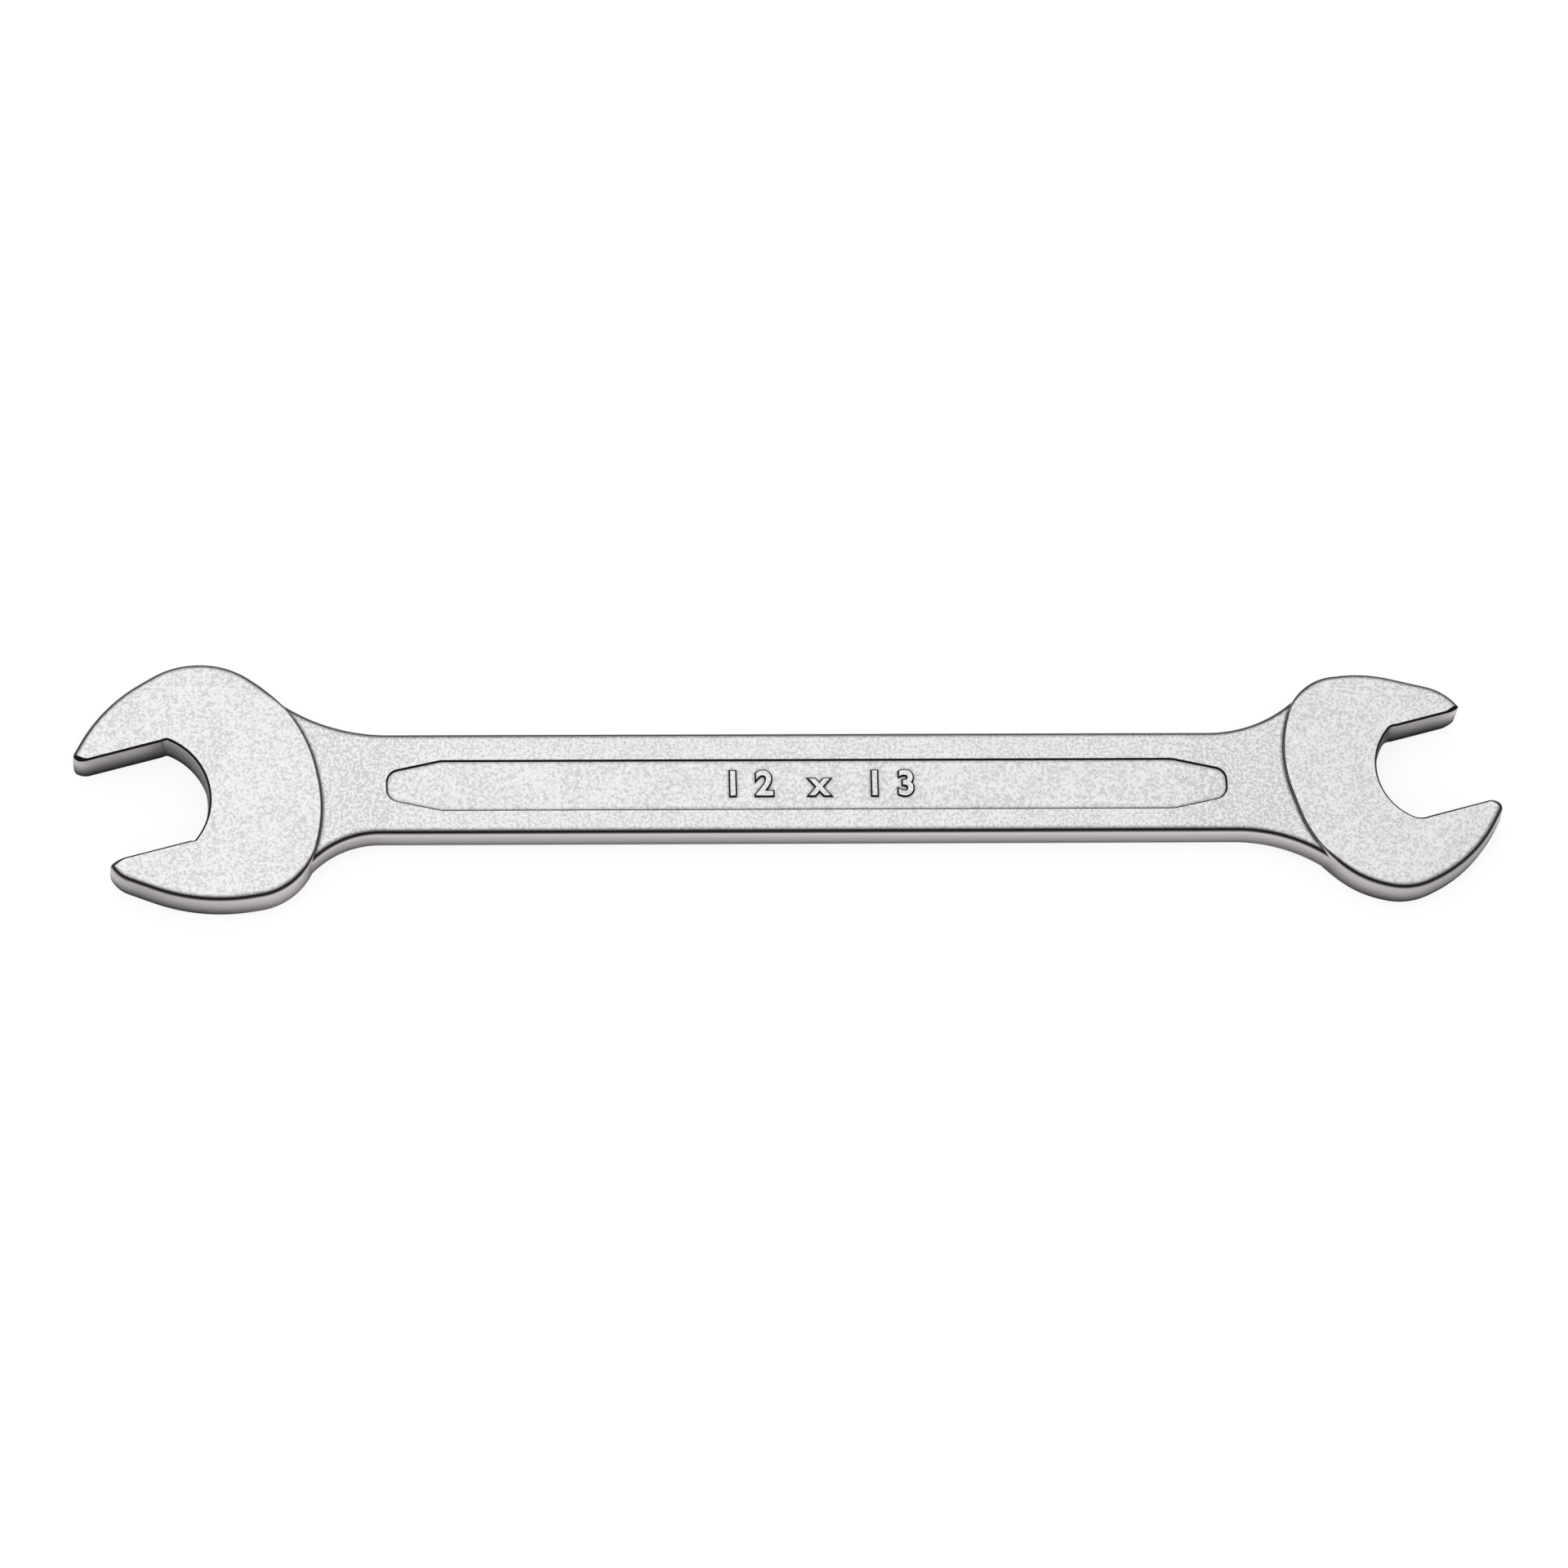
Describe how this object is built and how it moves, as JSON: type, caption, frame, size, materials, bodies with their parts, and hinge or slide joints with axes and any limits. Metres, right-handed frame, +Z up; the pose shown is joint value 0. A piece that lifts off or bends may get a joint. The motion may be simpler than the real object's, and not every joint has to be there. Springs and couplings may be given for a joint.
{
  "type": "double open end wrench",
  "caption": "Flat steel wrench with an open jaw at each end, angled to the shank, that slides sideways onto a hex nut or bolt head to turn it; recessed panel along both faces of the shank",
  "frame": {"origin": "Under the middle of the wrench, on the surface it lies on", "axes": "+X along the wrench towards the smaller head, +Y across it in the plane of the jaws, +Z up through its thickness; the wrench lies flat on its underside at Z = 0"},
  "size_m": [0.172, 0.0306, 0.006],
  "materials": {
    "satin_chrome": "satin chrome plate over tumbled steel"
  },
  "bodies": {
    "root": {"forged_wrench_body": "satin_chrome"}
  },
  "joints": []
}
